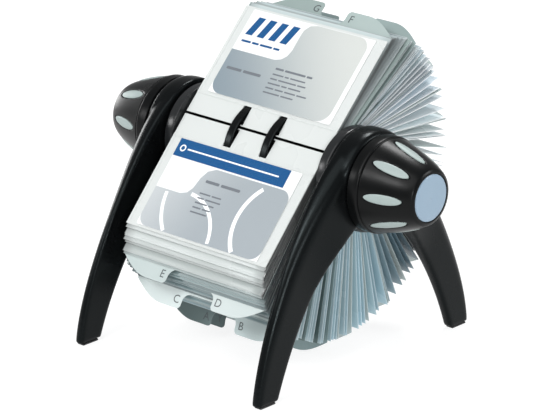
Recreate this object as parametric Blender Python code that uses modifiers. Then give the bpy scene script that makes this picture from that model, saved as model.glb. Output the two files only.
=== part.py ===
"""Rotary card file: a wheel of card pockets and index dividers, turned by two knobs between two arched side frames.

Metres, +Z up. X runs along the axle, with +X the right-hand knob as the user sees it, and -Y faces the user.
The model is centred over its footprint, on the surface it stands on.
"""

import math

import bmesh
import bpy
from mathutils import Vector

MM = 0.001
GAP = 0.3 * MM                      # clearance that neighbouring pieces keep

# Wheel
AXLE_HEIGHT = 108.3 * MM
AXLE_RADIUS = 5.8 * MM
DRUM_RADIUS = 19.0 * MM
DRUM_WALL = 1.8 * MM
DRUM_WEB = 2.0 * MM                 # half of the web between drum and sleeve
RAIL_OFFSET = 13.3 * MM             # each rail from the middle of the wheel
RAIL_WEB = 2.4 * MM
RAIL_HEAD = 5.0 * MM
RAIL_HEAD_INNER = 25.8 * MM
RAIL_HEAD_OUTER = 26.4 * MM
FLANGE_RADIUS = 27.5 * MM
FLANGE_INNER_X = 53.4 * MM
FLANGE_OUTER_X = 59.6 * MM
TURNED_STEPS = 30

# Leaves: the card pockets and the index dividers
LEAF_WIDTH = 104.0 * MM
LEAF_LENGTH = 72.0 * MM
DIVIDER_THICKNESS = 0.3 * MM
SLOT_DEPTH = 12.5 * MM
SLOT_MOUTH = 8.4 * MM
SLOT_END = 5.7 * MM
LIP_GAP = 3.4 * MM
LIP_HEIGHT = 0.6 * MM
TAB_HEIGHT = 9.5 * MM
TAB_TIP = 16.0 * MM                 # inner end of a tab, from the middle of the divider
TAB_FLAT = 14.0 * MM                # straight stretch of a tab's edge

# Where the wheel lies open, between its upper and lower page (angles run from +Y up to +Z)
GAP_ANGLE = 137.0
HINGE_RADIUS = 24.4 * MM
UPPER_TILT = 45.8
LOWER_TILT = 228.0
FIRST_FOOT = 133.0
LAST_FOOT = -219.0

# How the leaves hang: share of the way round, direction of the leaf, radius of its foot in mm
FAN = (
    (0.000, 45.8, 22.6),
    (0.094, 36.6, 20.3),
    (0.190, 15.0, 20.3),
    (0.264, -11.0, 20.8),
    (0.350, -33.0, 21.8),
    (0.480, -59.0, 23.6),
    (0.590, -89.0, 24.4),
    (0.744, -105.0, 24.4),
    (0.869, -124.5, 23.4),
    (1.000, -132.0, 22.6),
)
# Dividers, from behind the upper page round to under the lower page: letter and share of the way round
DIVIDERS = (
    ("F", 0.018),
    ("G", 0.078),
    ("H", 0.098),
    ("K", 0.207),
    ("N", 0.312),
    ("Q", 0.417),
    ("T", 0.522),
    ("W", 0.627),
    ("A", 0.746),
    ("B", 0.786),
    ("C", 0.826),
    ("D", 0.866),
    ("E", 0.906),
)

# Pockets and the business cards in them
POCKET_THICKNESS = 1.2 * MM
FOOT_THICKNESS = 0.4 * MM
PAGE_DROP = 0.5 * MM                # middle of the page below its hinge line
FOOT_START = 0.5 * MM               # foot edge of the page from its hinge line
POCKET_START = 14.0 * MM
CARD_WIDTH = 90.0 * MM
CARD_LENGTH = 55.0 * MM
CARD_THICKNESS = 0.3 * MM
CARD_START = 15.5 * MM

# Side frames
HUB_RADIUS = 29.0 * MM
HUB_INNER_X = 61.0 * MM
HUB_OUTER_X = 74.6 * MM
FOOT_INNER_X = 64.0 * MM
FOOT_OUTER_X = 70.0 * MM
LEG_TOP_INNER_X = 61.4 * MM
LEG_TOP_OUTER_X = 71.0 * MM
FOOT_FRONT = 89.7 * MM              # outer edge of a foot, from the axle's line
FOOT_BACK = 73.0 * MM               # inner edge of a foot
FOOT_CLEARANCE = 1.5 * MM           # end of the leg above the surface, on its pad
OUTER_HANDLES = ((-86.0 * MM, 42.0 * MM), (-45.5 * MM, 118.0 * MM))
INNER_HANDLES = ((-59.0 * MM, 40.0 * MM), (-38.0 * MM, 70.0 * MM))
LEG_EDGE = 1.6 * MM                 # rounding along a leg's edges
LEG_STATIONS = 12
BUSH_RADIUS = 9.6 * MM
BUSH_FLANGE_RADIUS = 11.5 * MM
BUSH_FLANGE = 0.6 * MM
PAD_SIZE = (5.0 * MM, 12.0 * MM, 1.2 * MM)
PEG_RADIUS = 1.4 * MM
PEG_HEIGHT = 5.0 * MM

# Knobs
KNOB_BASE_X = 75.3 * MM
KNOB_GROOVE_X = 82.0 * MM
KNOB_END_X = 111.8 * MM
KNOB_BASE_RADIUS = 27.2 * MM
KNOB_NOSE_RADIUS = 14.6 * MM
KNOB_WALL = 1.8 * MM
KNOB_SLEEVE_WALL = 2.2 * MM
KNOB_ROOF = 5.6 * MM                # wall between the hollow and the end cap's seat
CAP_RADIUS = 13.2 * MM
CAP_THICKNESS = 1.5 * MM
GRIP_COUNT = 8
GRIP_START_X = 84.7 * MM
GRIP_END_X = 106.8 * MM
GRIP_WIDTH = 5.6 * MM
GRIP_PHASE = 88.0
GRIP_PROUD = 0.3 * MM
GRIP_SLEEVE_END_X = 100.5 * MM
GRIP_SLEEVE_WALL = 1.1 * MM
AXLE_END_X = 103.0 * MM

# Screw and washer that hold each knob on the axle
SCREW_RADIUS = 1.9 * MM
SCREW_REACH = 12.0 * MM             # thread inside the axle
SCREW_HOLE_DEPTH = 14.0 * MM
SCREW_SEAT = 1.6 * MM               # floor of the knob that the washer clamps on the axle
SCREW_HEAD_RADIUS = 3.8 * MM
SCREW_HEAD_HEIGHT = 2.2 * MM
SCREW_WELL_RADIUS = 5.0 * MM
WASHER_RADIUS = 4.6 * MM
WASHER_BORE = 2.5 * MM
WASHER_THICKNESS = 0.6 * MM

SIDES = (("left", -1), ("right", 1))
ENDS = (("front", -1), ("rear", 1))


# ---------------------------------------------------------------- scene and materials


def clear_scene():
    for old in list(bpy.data.objects):
        bpy.data.objects.remove(old)


def new_collection(name):
    made = bpy.data.collections.new(name)
    bpy.context.scene.collection.children.link(made)
    return made


def new_material(name, colour, roughness, metallic=0.0):
    made = bpy.data.materials.new(name)
    made.use_nodes = True
    shader = made.node_tree.nodes["Principled BSDF"]
    shader.inputs["Base Color"].default_value = (*colour, 1.0)
    shader.inputs["Roughness"].default_value = roughness
    shader.inputs["Metallic"].default_value = metallic
    return made


clear_scene()
PARTS = new_collection("rotary_card_file")
CUTTERS = new_collection("cutters")
BLACK = new_material("black_plastic", (0.012, 0.013, 0.014), 0.38)
GREY = new_material("grey_plastic", (0.025, 0.027, 0.029), 0.3)
INLAY = new_material("pale_inlay", (0.52, 0.60, 0.59), 0.45)
CAP = new_material("pale_cap", (0.36, 0.46, 0.60), 0.35)
RUBBER = new_material("black_rubber", (0.02, 0.02, 0.02), 0.85)
STEEL = new_material("steel", (0.55, 0.56, 0.58), 0.3, 1.0)
ACETAL = new_material("acetal", (0.75, 0.74, 0.70), 0.45)
FILM_MATERIAL = new_material("clear_film", (0.72, 0.80, 0.82), 0.25)
DIVIDER_MATERIAL = new_material("divider_plastic", (0.55, 0.62, 0.60), 0.4)
CARD_MATERIAL = new_material("card", (0.72, 0.74, 0.76), 0.5)


# ---------------------------------------------------------------- building blocks


def add_object(name, mesh, material=None, collection=None):
    """An object of that mesh in the parts' collection, or a hidden cutter in the cutters' one."""
    made = bpy.data.objects.new(name, mesh)
    (collection or PARTS).objects.link(made)
    if material:
        mesh.materials.append(material)
    if collection == CUTTERS:
        made.hide_render = True
        made.display_type = "WIRE"
    return made


def shade_round(obj, angle=35.0):
    obj.data.shade_smooth()
    obj.data.set_sharp_from_angle(angle=math.radians(angle))


def turned(name, profile, side, material=None, collection=None, steps=TURNED_STEPS):
    """A solid turned about the axle. Its profile of (along the axle, radius) is a loop, or open from axis to axis."""
    closed = profile[0][1] > 0 or profile[-1][1] > 0
    area = sum(a[0] * b[1] - b[0] * a[1] for a, b in zip(profile, [*profile[1:], profile[0]]))
    points = list(profile) if area > 0 else list(reversed(profile))
    mesh = bpy.data.meshes.new(name)
    edges = [(i, i + 1) for i in range(len(points) - 1)]
    if closed:
        edges.append((len(points) - 1, 0))
    mesh.from_pydata([(radius, 0.0, along) for along, radius in points], edges, [])
    made = add_object(name, mesh, material, collection)
    screw = made.modifiers.new("turn", "SCREW")
    screw.axis = "Z"
    screw.angle = math.tau
    screw.steps = steps
    screw.render_steps = steps
    screw.use_merge_vertices = True
    screw.merge_threshold = 0.00001
    screw.use_smooth_shade = True
    made.rotation_euler = (0.0, math.radians(90.0 * side), 0.0)
    made.location = (0.0, 0.0, AXLE_HEIGHT)
    return made


def plate(name, outline, thickness, material=None, collection=None):
    """A flat piece in its own XY plane, filled from a 2D curve and made a mesh, centred on its thickness."""
    curve = bpy.data.curves.new(name + "_outline", "CURVE")
    curve.dimensions = "2D"
    curve.fill_mode = "BOTH"
    curve.extrude = thickness / 2
    spline = curve.splines.new("POLY")
    spline.points.add(len(outline) - 1)
    for point, (x, y) in zip(spline.points, outline):
        point.co = (x, y, 0.0, 1.0)
    spline.use_cyclic_u = True
    drawn = bpy.data.objects.new(name + "_outline", curve)
    CUTTERS.objects.link(drawn)
    bpy.context.view_layer.update()
    evaluated = drawn.evaluated_get(bpy.context.evaluated_depsgraph_get())
    mesh = bpy.data.meshes.new_from_object(evaluated)
    bpy.data.objects.remove(drawn)
    weld_mesh(mesh)
    mesh.materials.clear()
    return add_object(name, mesh, material, collection)


def weld_mesh(mesh):
    bm = bmesh.new()
    bm.from_mesh(mesh)
    bmesh.ops.remove_doubles(bm, verts=bm.verts, dist=0.000001)
    bmesh.ops.recalc_face_normals(bm, faces=bm.faces)
    bm.to_mesh(mesh)
    bm.free()


def box(name, low, high, material=None, collection=None):
    bm = bmesh.new()
    bmesh.ops.create_cube(bm, size=1.0)
    size = Vector(high) - Vector(low)
    middle = (Vector(high) + Vector(low)) / 2
    for vertex in bm.verts:
        vertex.co = middle + Vector(c * s for c, s in zip(vertex.co, size))
    mesh = bpy.data.meshes.new(name)
    bm.to_mesh(mesh)
    bm.free()
    return add_object(name, mesh, material, collection)


def combine(obj, other, operation):
    step = obj.modifiers.new(operation.lower(), "BOOLEAN")
    step.operation = operation
    step.object = other
    step.solver = "EXACT"


def direction(degrees):
    """Unit vector in the wheel's plane, as (Y, Z)."""
    return math.cos(math.radians(degrees)), math.sin(math.radians(degrees))


def on_wheel(radius, degrees):
    y, z = direction(degrees)
    return y * radius, AXLE_HEIGHT + z * radius


# ---------------------------------------------------------------- side frames


def bezier(a, b, c, d, t):
    """Point at t of the cubic through a and d, with handles b and c."""
    s = 1.0 - t
    return [
        s**3 * p + 3 * s * s * t * q + 3 * s * t * t * u + t**3 * v
        for p, q, u, v in zip(a, b, c, d)
    ]


def smooth_step(t):
    t = min(1.0, max(0.0, t))
    return t * t * (3.0 - 2.0 * t)


def leg_edges(t):
    """Outer and inner edge of the front leg at share t of its height, as (Y, Z)."""
    hub_top = on_wheel(HUB_RADIUS - GAP, 114.0)
    hub_bottom = on_wheel(HUB_RADIUS - GAP, 234.0)
    foot = FOOT_CLEARANCE
    outer = bezier((-FOOT_FRONT, foot), OUTER_HANDLES[0], OUTER_HANDLES[1], hub_top, t)
    inner = bezier((-FOOT_BACK, foot), INNER_HANDLES[0], INNER_HANDLES[1], hub_bottom, t)
    return outer, inner


def leg_section(t, side, end):
    """Rounded outline of the leg at share t of its height: its points, in order round it."""
    outer, inner = leg_edges(t)
    swell = smooth_step(t * 1.1)
    near = FOOT_INNER_X + (LEG_TOP_INNER_X - FOOT_INNER_X) * swell
    far = FOOT_OUTER_X + (LEG_TOP_OUTER_X - FOOT_OUTER_X) * swell
    round_off = LEG_EDGE
    across = round_off / math.hypot(inner[0] - outer[0], inner[1] - outer[1])
    corners = (
        (near, across), (near, 1 - across), (near + round_off, 1),
        (far - round_off, 1), (far, 1 - across), (far, across),
        (far - round_off, 0), (near + round_off, 0),
    )
    return [
        (side * x, -end * (outer[0] + (inner[0] - outer[0]) * s), outer[1] + (inner[1] - outer[1]) * s)
        for x, s in corners
    ]


def leg(name, side, end):
    """One leg, lofted from its foot up into the hub."""
    bm = bmesh.new()
    rings = [
        [bm.verts.new(p) for p in leg_section(i / LEG_STATIONS, side, end)]
        for i in range(LEG_STATIONS + 1)
    ]
    for lower, upper in zip(rings, rings[1:]):
        for i in range(len(lower)):
            j = (i + 1) % len(lower)
            bm.faces.new((lower[i], lower[j], upper[j], upper[i]))
    bm.faces.new(rings[0])
    bm.faces.new(rings[-1])
    bmesh.ops.recalc_face_normals(bm, faces=bm.faces)
    mesh = bpy.data.meshes.new(name)
    bm.to_mesh(mesh)
    bm.free()
    return add_object(name, mesh, None, CUTTERS)


def foot_middle(side, end):
    return side * (FOOT_INNER_X + FOOT_OUTER_X) / 2, end * (FOOT_FRONT + FOOT_BACK) / 2


def peg(name, side, end, radius, top):
    """Upright peg over a foot, from inside its pad up into the leg."""
    bm = bmesh.new()
    bottom = PAD_SIZE[2] / 2
    bmesh.ops.create_cone(
        bm, cap_ends=True, segments=12, radius1=radius, radius2=radius, depth=top - bottom
    )
    mesh = bpy.data.meshes.new(name)
    bm.to_mesh(mesh)
    bm.free()
    made = add_object(name, mesh, None, CUTTERS)
    made.location = (*foot_middle(side, end), (top + bottom) / 2)
    return made


def side_frame(word, side):
    """Arched frame: a round hub with a leg to the front and a leg to the rear, moulded in one."""
    shoulder = 2.2 * MM
    bore = BUSH_RADIUS + GAP
    profile = (
        (HUB_INNER_X, bore),
        (HUB_INNER_X, HUB_RADIUS - 1.2 * MM),
        (HUB_INNER_X + 1.2 * MM, HUB_RADIUS),
        (HUB_OUTER_X - shoulder * 1.6, HUB_RADIUS),
        (HUB_OUTER_X - shoulder * 0.5, HUB_RADIUS - shoulder * 0.35),
        (HUB_OUTER_X, HUB_RADIUS - shoulder),
        (HUB_OUTER_X, bore),
    )
    frame = turned(f"{word}_frame", profile, side, BLACK)
    for end_word, end in ENDS:
        combine(frame, leg(f"{word}_{end_word}_leg", side, end), "UNION")
        hole = peg(f"{word}_{end_word}_hole", side, end, PEG_RADIUS + GAP, PEG_HEIGHT + GAP)
        combine(frame, hole, "DIFFERENCE")
    return frame


def foot_pad(word, side, end_word, end):
    """Rubber pad under a foot, held by its peg."""
    x, y = foot_middle(side, end)
    half = [size / 2 for size in PAD_SIZE]
    pad = box(f"{end_word}_{word}_foot_pad", (x - half[0], y - half[1], 0.0),
              (x + half[0], y + half[1], PAD_SIZE[2]), RUBBER)
    rounding = pad.modifiers.new("round", "BEVEL")
    rounding.width = 0.4 * MM
    rounding.segments = 1
    combine(pad, peg(f"{end_word}_{word}_peg", side, end, PEG_RADIUS, PEG_HEIGHT), "UNION")


def bearing_bush(word, side):
    """Flanged plain bearing in the frame's hub."""
    bore = AXLE_RADIUS + GAP
    face = HUB_INNER_X - GAP - BUSH_FLANGE
    profile = (
        (face, bore),
        (face, BUSH_FLANGE_RADIUS),
        (HUB_INNER_X - GAP, BUSH_FLANGE_RADIUS),
        (HUB_INNER_X - GAP, BUSH_RADIUS),
        (HUB_OUTER_X, BUSH_RADIUS),
        (HUB_OUTER_X, bore),
    )
    turned(f"{word}_bearing_bush", profile, side, ACETAL, steps=24)


# ---------------------------------------------------------------- axle, drum and rails


def axle():
    """Axle through both frames, with a tapped hole in each end for the knob's screw."""
    hole = SCREW_RADIUS + GAP
    profile = []
    for side in (-1, 1):
        end = side * AXLE_END_X
        bottom = side * (AXLE_END_X - SCREW_HOLE_DEPTH)
        points = [(bottom, 0.0), (bottom, hole), (end, hole), (end, AXLE_RADIUS)]
        profile += points if side < 0 else list(reversed(points))
    turned("axle", profile, 1, STEEL, steps=24)


def card_drum():
    """Spool on the axle that the rails and flanges sit on, open at both ends."""
    end = FLANGE_INNER_X - GAP
    bore = AXLE_RADIUS + GAP
    sleeve = bore + 2.0 * MM
    wall = DRUM_RADIUS - DRUM_WALL
    profile = (
        (-end, bore), (-end, sleeve), (-DRUM_WEB, sleeve), (-DRUM_WEB, wall), (-end, wall), (-end, DRUM_RADIUS),
        (end, DRUM_RADIUS), (end, wall), (DRUM_WEB, wall), (DRUM_WEB, sleeve), (end, sleeve), (end, bore),
    )
    turned("card_drum", profile, 1, BLACK, steps=24)


def card_rail(word, side):
    """T-shaped ring that the leaves hang on by their slots."""
    web = RAIL_WEB / 2
    head = RAIL_HEAD / 2
    foot = DRUM_RADIUS + GAP
    half = ((web, foot), (web, RAIL_HEAD_INNER), (head, RAIL_HEAD_INNER),
            (head, RAIL_HEAD_OUTER - 0.2 * MM), (head - 0.8 * MM, RAIL_HEAD_OUTER))
    profile = [(RAIL_OFFSET + x, r) for x, r in half]
    profile += [(RAIL_OFFSET - x, r) for x, r in reversed(half)]
    turned(f"{word}_card_rail", profile, side, BLACK, steps=36)


def end_flange(word, side):
    """Disc at each end of the drum that keeps the leaves between the frames."""
    bore = AXLE_RADIUS + GAP
    middle = FLANGE_INNER_X + 2.0 * MM
    profile = (
        (FLANGE_INNER_X, bore), (FLANGE_INNER_X, FLANGE_RADIUS), (FLANGE_OUTER_X - 1.0 * MM, FLANGE_RADIUS),
        (FLANGE_OUTER_X, FLANGE_RADIUS - 1.0 * MM), (FLANGE_OUTER_X, FLANGE_RADIUS - 2.5 * MM),
        (middle, FLANGE_RADIUS - 3.0 * MM), (middle, bore),
    )
    turned(f"{word}_end_flange", profile, side, GREY)


# ---------------------------------------------------------------- knobs


def knob_radius(x):
    """Outer radius of the knob's body at distance x along the axle: a bulging cone."""
    t = (x - KNOB_GROOVE_X) / (KNOB_END_X - KNOB_GROOVE_X)
    drop = KNOB_BASE_RADIUS - 0.5 * MM - KNOB_NOSE_RADIUS
    return KNOB_NOSE_RADIUS + drop * (0.75 * (1.0 - t) + 0.25 * math.sqrt(max(0.0, 1.0 - t**3)))


def knob_outline(step_count=6):
    start = KNOB_GROOVE_X + 1.0 * MM
    end = KNOB_END_X - 0.6 * MM
    stations = [start + (end - start) * i / step_count for i in range(step_count + 1)]
    return [(x, knob_radius(x)) for x in stations]


def knob(word, side, grip_cutter):
    """Hollow knob: a shell with windows for the grip, a sleeve over the axle and a seat for the end cap."""
    bore = AXLE_RADIUS + GAP
    sleeve = bore + KNOB_SLEEVE_WALL
    seat_x = KNOB_END_X - CAP_THICKNESS
    seat = CAP_RADIUS + GAP
    roof = seat_x - KNOB_ROOF
    well = AXLE_END_X + SCREW_SEAT
    body = knob_outline()
    inside_end = roof - 3.0 * MM
    inside = [
        (x, knob_radius(x) - KNOB_WALL)
        for x in (KNOB_GROOVE_X + 1.0 * MM, (KNOB_GROOVE_X + inside_end) / 2, inside_end)
    ]
    profile = [
        (KNOB_BASE_X, KNOB_BASE_RADIUS),
        (KNOB_GROOVE_X, KNOB_BASE_RADIUS - 0.2 * MM),
        (KNOB_GROOVE_X + 0.3 * MM, KNOB_BASE_RADIUS - 1.0 * MM),
        (KNOB_GROOVE_X + 0.8 * MM, KNOB_BASE_RADIUS - 1.0 * MM),
        *body,
        (KNOB_END_X, KNOB_NOSE_RADIUS - 0.5 * MM),
        (KNOB_END_X, seat),
        (seat_x, seat),
        (seat_x, SCREW_WELL_RADIUS),
        (well, SCREW_WELL_RADIUS),
        (well, SCREW_RADIUS + GAP),
        (AXLE_END_X + GAP, SCREW_RADIUS + GAP),
        (AXLE_END_X + GAP, bore),
        (KNOB_BASE_X, bore),
        (KNOB_BASE_X, sleeve),
        (roof, sleeve),
        (roof, inside[-1][1] - 3.0 * MM),
        *reversed(inside),
        (KNOB_BASE_X, KNOB_BASE_RADIUS - KNOB_WALL),
    ]
    made = turned(f"{word}_knob", profile, side, BLACK)
    combine(made, grip_cutter, "DIFFERENCE")


def grip_shapes(name, side, shrink):
    """Eight leaf-shaped prisms round the knob, standing out from the axle."""
    bm = bmesh.new()
    half_length = (GRIP_END_X - GRIP_START_X) / 2 - shrink
    half_width = GRIP_WIDTH / 2 - shrink
    middle = (GRIP_START_X + GRIP_END_X) / 2
    point_count = 12
    for k in range(GRIP_COUNT):
        out = direction(GRIP_PHASE + 360.0 / GRIP_COUNT * k)
        rings = []
        for radius in (11.0 * MM, 30.0 * MM):
            ring = []
            for i in range(point_count):
                angle = math.tau * i / point_count
                along = side * (middle + half_length * math.cos(angle))
                across = half_width * math.sin(angle)
                y = out[0] * radius - out[1] * across
                z = out[1] * radius + out[0] * across
                ring.append(bm.verts.new((along, y, AXLE_HEIGHT + z)))
            rings.append(ring)
        for i in range(point_count):
            j = (i + 1) % point_count
            bm.faces.new((rings[0][i], rings[0][j], rings[1][j], rings[1][i]))
        bm.faces.new(rings[0])
        bm.faces.new(rings[1])
    bmesh.ops.recalc_face_normals(bm, faces=bm.faces)
    mesh = bpy.data.meshes.new(name)
    bm.to_mesh(mesh)
    bm.free()
    return add_object(name, mesh, None, CUTTERS)


def grip_insert(word, side):
    """Soft grip moulded in one: a sleeve inside the knob's shell, with eight pads that fill its windows."""
    top = knob_outline()
    depth = KNOB_WALL + GAP
    inner = depth + GRIP_SLEEVE_WALL
    start = GRIP_START_X - 1.0 * MM
    stations = (start, (start + GRIP_SLEEVE_END_X) / 2, GRIP_SLEEVE_END_X)
    sleeve_profile = [(x, knob_radius(x) - depth) for x in stations]
    sleeve_profile += [(x, knob_radius(x) - inner) for x in reversed(stations)]
    sleeve = turned(f"{word}_grip_insert", sleeve_profile, side, INLAY, steps=24)
    pads_profile = [(x, r + GRIP_PROUD) for x, r in top]
    pads_profile += [(x, r - depth - 0.4 * MM) for x, r in reversed(top)]
    pads = turned(f"{word}_grip_pads", pads_profile, side, None, CUTTERS)
    combine(pads, grip_shapes(f"{word}_grip_shapes", side, GAP), "INTERSECT")
    combine(sleeve, pads, "UNION")


def end_cap(word, side):
    """Slightly domed cap that covers the screw."""
    seat = KNOB_END_X - CAP_THICKNESS + GAP
    profile = ((seat, 0.0), (seat, CAP_RADIUS), (KNOB_END_X - 0.1 * MM, CAP_RADIUS),
               (KNOB_END_X + 0.25 * MM, CAP_RADIUS - 1.2 * MM), (KNOB_END_X + 0.4 * MM, 0.0))
    turned(f"{word}_end_cap", profile, side, CAP)


def knob_screw(word, side):
    """Screw and washer that hold the knob on the axle's end."""
    seat = AXLE_END_X + SCREW_SEAT + GAP
    top = seat + WASHER_THICKNESS
    washer = ((seat, WASHER_BORE), (seat, WASHER_RADIUS), (top, WASHER_RADIUS), (top, WASHER_BORE))
    turned(f"{word}_knob_washer", washer, side, STEEL, steps=20)
    head = top + GAP
    crown = head + SCREW_HEAD_HEIGHT
    tip = AXLE_END_X - SCREW_REACH
    screw = ((tip, 0.0), (tip, SCREW_RADIUS), (head, SCREW_RADIUS), (head, SCREW_HEAD_RADIUS),
             (crown - 0.6 * MM, SCREW_HEAD_RADIUS), (crown, SCREW_HEAD_RADIUS - 1.2 * MM), (crown, 0.0))
    turned(f"{word}_knob_screw", screw, side, STEEL, steps=16)


# ---------------------------------------------------------------- leaves


def fan_state(t):
    """Leaf at share t of the way round: its foot as (Y, Z), its direction in degrees, and its foot's radius."""
    spans = list(zip(FAN, FAN[1:]))
    index = next((i for i, (a, b) in enumerate(spans) if t <= b[0]), len(spans) - 1)
    a, b = spans[index]
    before = FAN[max(0, index - 1)]
    after = FAN[min(len(FAN) - 1, index + 2)]
    s = (t - a[0]) / (b[0] - a[0])
    values = []
    for column in (1, 2):
        slope_a = (b[column] - before[column]) / (b[0] - before[0]) * (b[0] - a[0])
        slope_b = (after[column] - a[column]) / (after[0] - a[0]) * (b[0] - a[0])
        values.append(
            (2 * s**3 - 3 * s**2 + 1) * a[column] + (s**3 - 2 * s**2 + s) * slope_a
            + (3 * s**2 - 2 * s**3) * b[column] + (s**3 - s**2) * slope_b
        )
    lean, radius = values
    foot = on_wheel(radius * MM, FIRST_FOOT + (LAST_FOOT - FIRST_FOOT) * t)
    return foot, lean


def keyhole(middle, start):
    """Slot in a leaf's foot edge, from right to left: a narrow mouth between two lips, then a tapered slot."""
    lip = start + LIP_HEIGHT
    right = [(LIP_GAP / 2, start), (LIP_GAP / 2, lip), (SLOT_MOUTH / 2, lip), (SLOT_END / 2, start + SLOT_DEPTH)]
    left = [(-x, y) for x, y in reversed(right)]
    return [(middle + x, y) for x, y in right + left]


def foot_edge(start):
    """A leaf's foot edge from its right corner to its left one, with both slots."""
    half = LEAF_WIDTH / 2
    return [(half, start), *keyhole(RAIL_OFFSET, start), *keyhole(-RAIL_OFFSET, start), (-half, start)]


def tab_edge(hand):
    """Outer edge of a divider: straight on one half, and swelling into a tab on the other half."""
    half = LEAF_WIDTH / 2
    top = LEAF_LENGTH + TAB_HEIGHT
    tab = [(half, LEAF_LENGTH)]
    for i in range(1, 6):
        t = i / 5
        x = half - (half - TAB_TIP - TAB_FLAT) * t
        tab.append((x, LEAF_LENGTH + TAB_HEIGHT * math.sin(t * math.pi / 2)))
    tab += [(TAB_TIP + 2.0 * MM, top), (TAB_TIP, top - 2.0 * MM)]
    fillet = 5.0 * MM
    centre = TAB_TIP - 2.0 * MM - fillet
    for i in range(4):
        angle = math.radians(-30.0 * i)
        tab.append((centre + fillet * math.cos(angle), LEAF_LENGTH + fillet + fillet * math.sin(angle)))
    tab.append((-half, LEAF_LENGTH))
    points = [(hand * x, y) for x, y in tab]
    return points if hand < 0 else list(reversed(points))


def index_divider(letter, share, hand):
    outline = [*foot_edge(0.0), *tab_edge(hand)]
    made = plate(f"index_divider_{letter}", outline, DIVIDER_THICKNESS, DIVIDER_MATERIAL)
    foot, lean = fan_state(share)
    made.location = (0.0, *foot)
    made.rotation_euler = (math.radians(lean), 0.0, 0.0)


def leaf_line(share, offset):
    """Foot and outer end of a leaf's line, moved sideways by an offset that counts clockwise."""
    foot, lean = fan_state(share)
    along = direction(lean)
    aside = direction(lean - 90.0)
    y, z = foot[0] + aside[0] * offset, foot[1] + aside[1] * offset
    return (y, z), (y + along[0] * LEAF_LENGTH, z + along[1] * LEAF_LENGTH)


def pocket_pack(name, first, last, groove):
    """The pockets between two dividers, as one wedge with a groove for each rail."""
    clear = DIVIDER_THICKNESS / 2 + GAP
    shares = [first + (last - first) * i / 4 for i in range(5)]
    offsets = (clear if first > 0 else 0.0, 0.0, 0.0, 0.0, -clear if last < 1 else 0.0)
    lines = [leaf_line(share, offset) for share, offset in zip(shares, offsets)]
    section = [outer for _, outer in lines] + [foot for foot, _ in reversed(lines[::2])]
    bm = bmesh.new()
    rings = [[bm.verts.new((x, *p)) for p in section] for x in (-LEAF_WIDTH / 2, LEAF_WIDTH / 2)]
    for i in range(len(section)):
        j = (i + 1) % len(section)
        bm.faces.new((rings[0][i], rings[0][j], rings[1][j], rings[1][i]))
    for ring in rings:
        bm.faces.new(ring)
    bmesh.ops.recalc_face_normals(bm, faces=bm.faces)
    mesh = bpy.data.meshes.new(name)
    bm.to_mesh(mesh)
    bm.free()
    combine(add_object(name, mesh, FILM_MATERIAL), groove, "DIFFERENCE")


def rail_groove():
    """Both discs that a pack's grooves leave room for."""
    disc = RAIL_HEAD_OUTER + GAP
    half = SLOT_END / 2
    discs = []
    for word, side in SIDES:
        x = side * RAIL_OFFSET
        profile = ((x - half, 0.0), (x - half, disc), (x + half, disc), (x + half, 0.0))
        discs.append(turned(f"{word}_groove", profile, 1, None, CUTTERS, steps=40))
    combine(discs[0], discs[1], "UNION")
    return discs[0]


# ---------------------------------------------------------------- open pages


def hinge_line(name):
    """Empty on the line where both open pages meet."""
    pivot = bpy.data.objects.new(name, None)
    PARTS.objects.link(pivot)
    pivot.location = (0.0, *on_wheel(HINGE_RADIUS, GAP_ANGLE))
    return pivot


def page(word, tilt, face):
    """A pocket lying open, and the business card in it. The face is +1 where the page's own +Z is its upper side."""
    pivot = hinge_line(f"{word}_page_hinge")
    pivot.rotation_euler = (math.radians(tilt), 0.0, 0.0)
    middle = -face * PAGE_DROP
    half_width = LEAF_WIDTH / 2
    outline = [*foot_edge(FOOT_START), (-half_width, POCKET_START + 1.0 * MM), (half_width, POCKET_START + 1.0 * MM)]
    strip = plate(f"{word}_page_pocket", outline, FOOT_THICKNESS, FILM_MATERIAL)
    sleeve_low = Vector((-half_width, POCKET_START, -POCKET_THICKNESS / 2))
    sleeve_high = Vector((half_width, LEAF_LENGTH, POCKET_THICKNESS / 2))
    sleeve = box(f"{word}_sleeve", sleeve_low, sleeve_high, None, CUTTERS)
    hollow_half = CARD_WIDTH / 2 + GAP
    hollow = box(
        f"{word}_hollow",
        (-hollow_half, CARD_START - GAP, -CARD_THICKNESS / 2 - GAP),
        (hollow_half, LEAF_LENGTH + MM, CARD_THICKNESS / 2 + GAP),
        None, CUTTERS,
    )
    card = box(
        f"{word}_business_card",
        (-CARD_WIDTH / 2, CARD_START, -CARD_THICKNESS / 2),
        (CARD_WIDTH / 2, CARD_START + CARD_LENGTH, CARD_THICKNESS / 2),
        CARD_MATERIAL,
    )
    combine(strip, sleeve, "UNION")
    combine(strip, hollow, "DIFFERENCE")
    for piece in (strip, sleeve, hollow, card):
        piece.parent = pivot
        piece.location = (0.0, 0.0, middle)


# ---------------------------------------------------------------- assembly


def centre_over_footprint():
    """Moves the whole model so that its box is centred over the origin."""
    bpy.context.view_layer.update()
    depsgraph = bpy.context.evaluated_depsgraph_get()
    depths = []
    for obj in PARTS.objects:
        if obj.type == "MESH":
            evaluated = obj.evaluated_get(depsgraph)
            depths += [(evaluated.matrix_world @ Vector(c)).y for c in evaluated.bound_box]
    shift = -(min(depths) + max(depths)) / 2
    base = bpy.data.objects.new("card_file_base", None)
    PARTS.objects.link(base)
    for obj in list(PARTS.objects) + list(CUTTERS.objects):
        if obj is not base and obj.parent is None:
            obj.parent = base
    base.location = (0.0, shift, 0.0)


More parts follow.
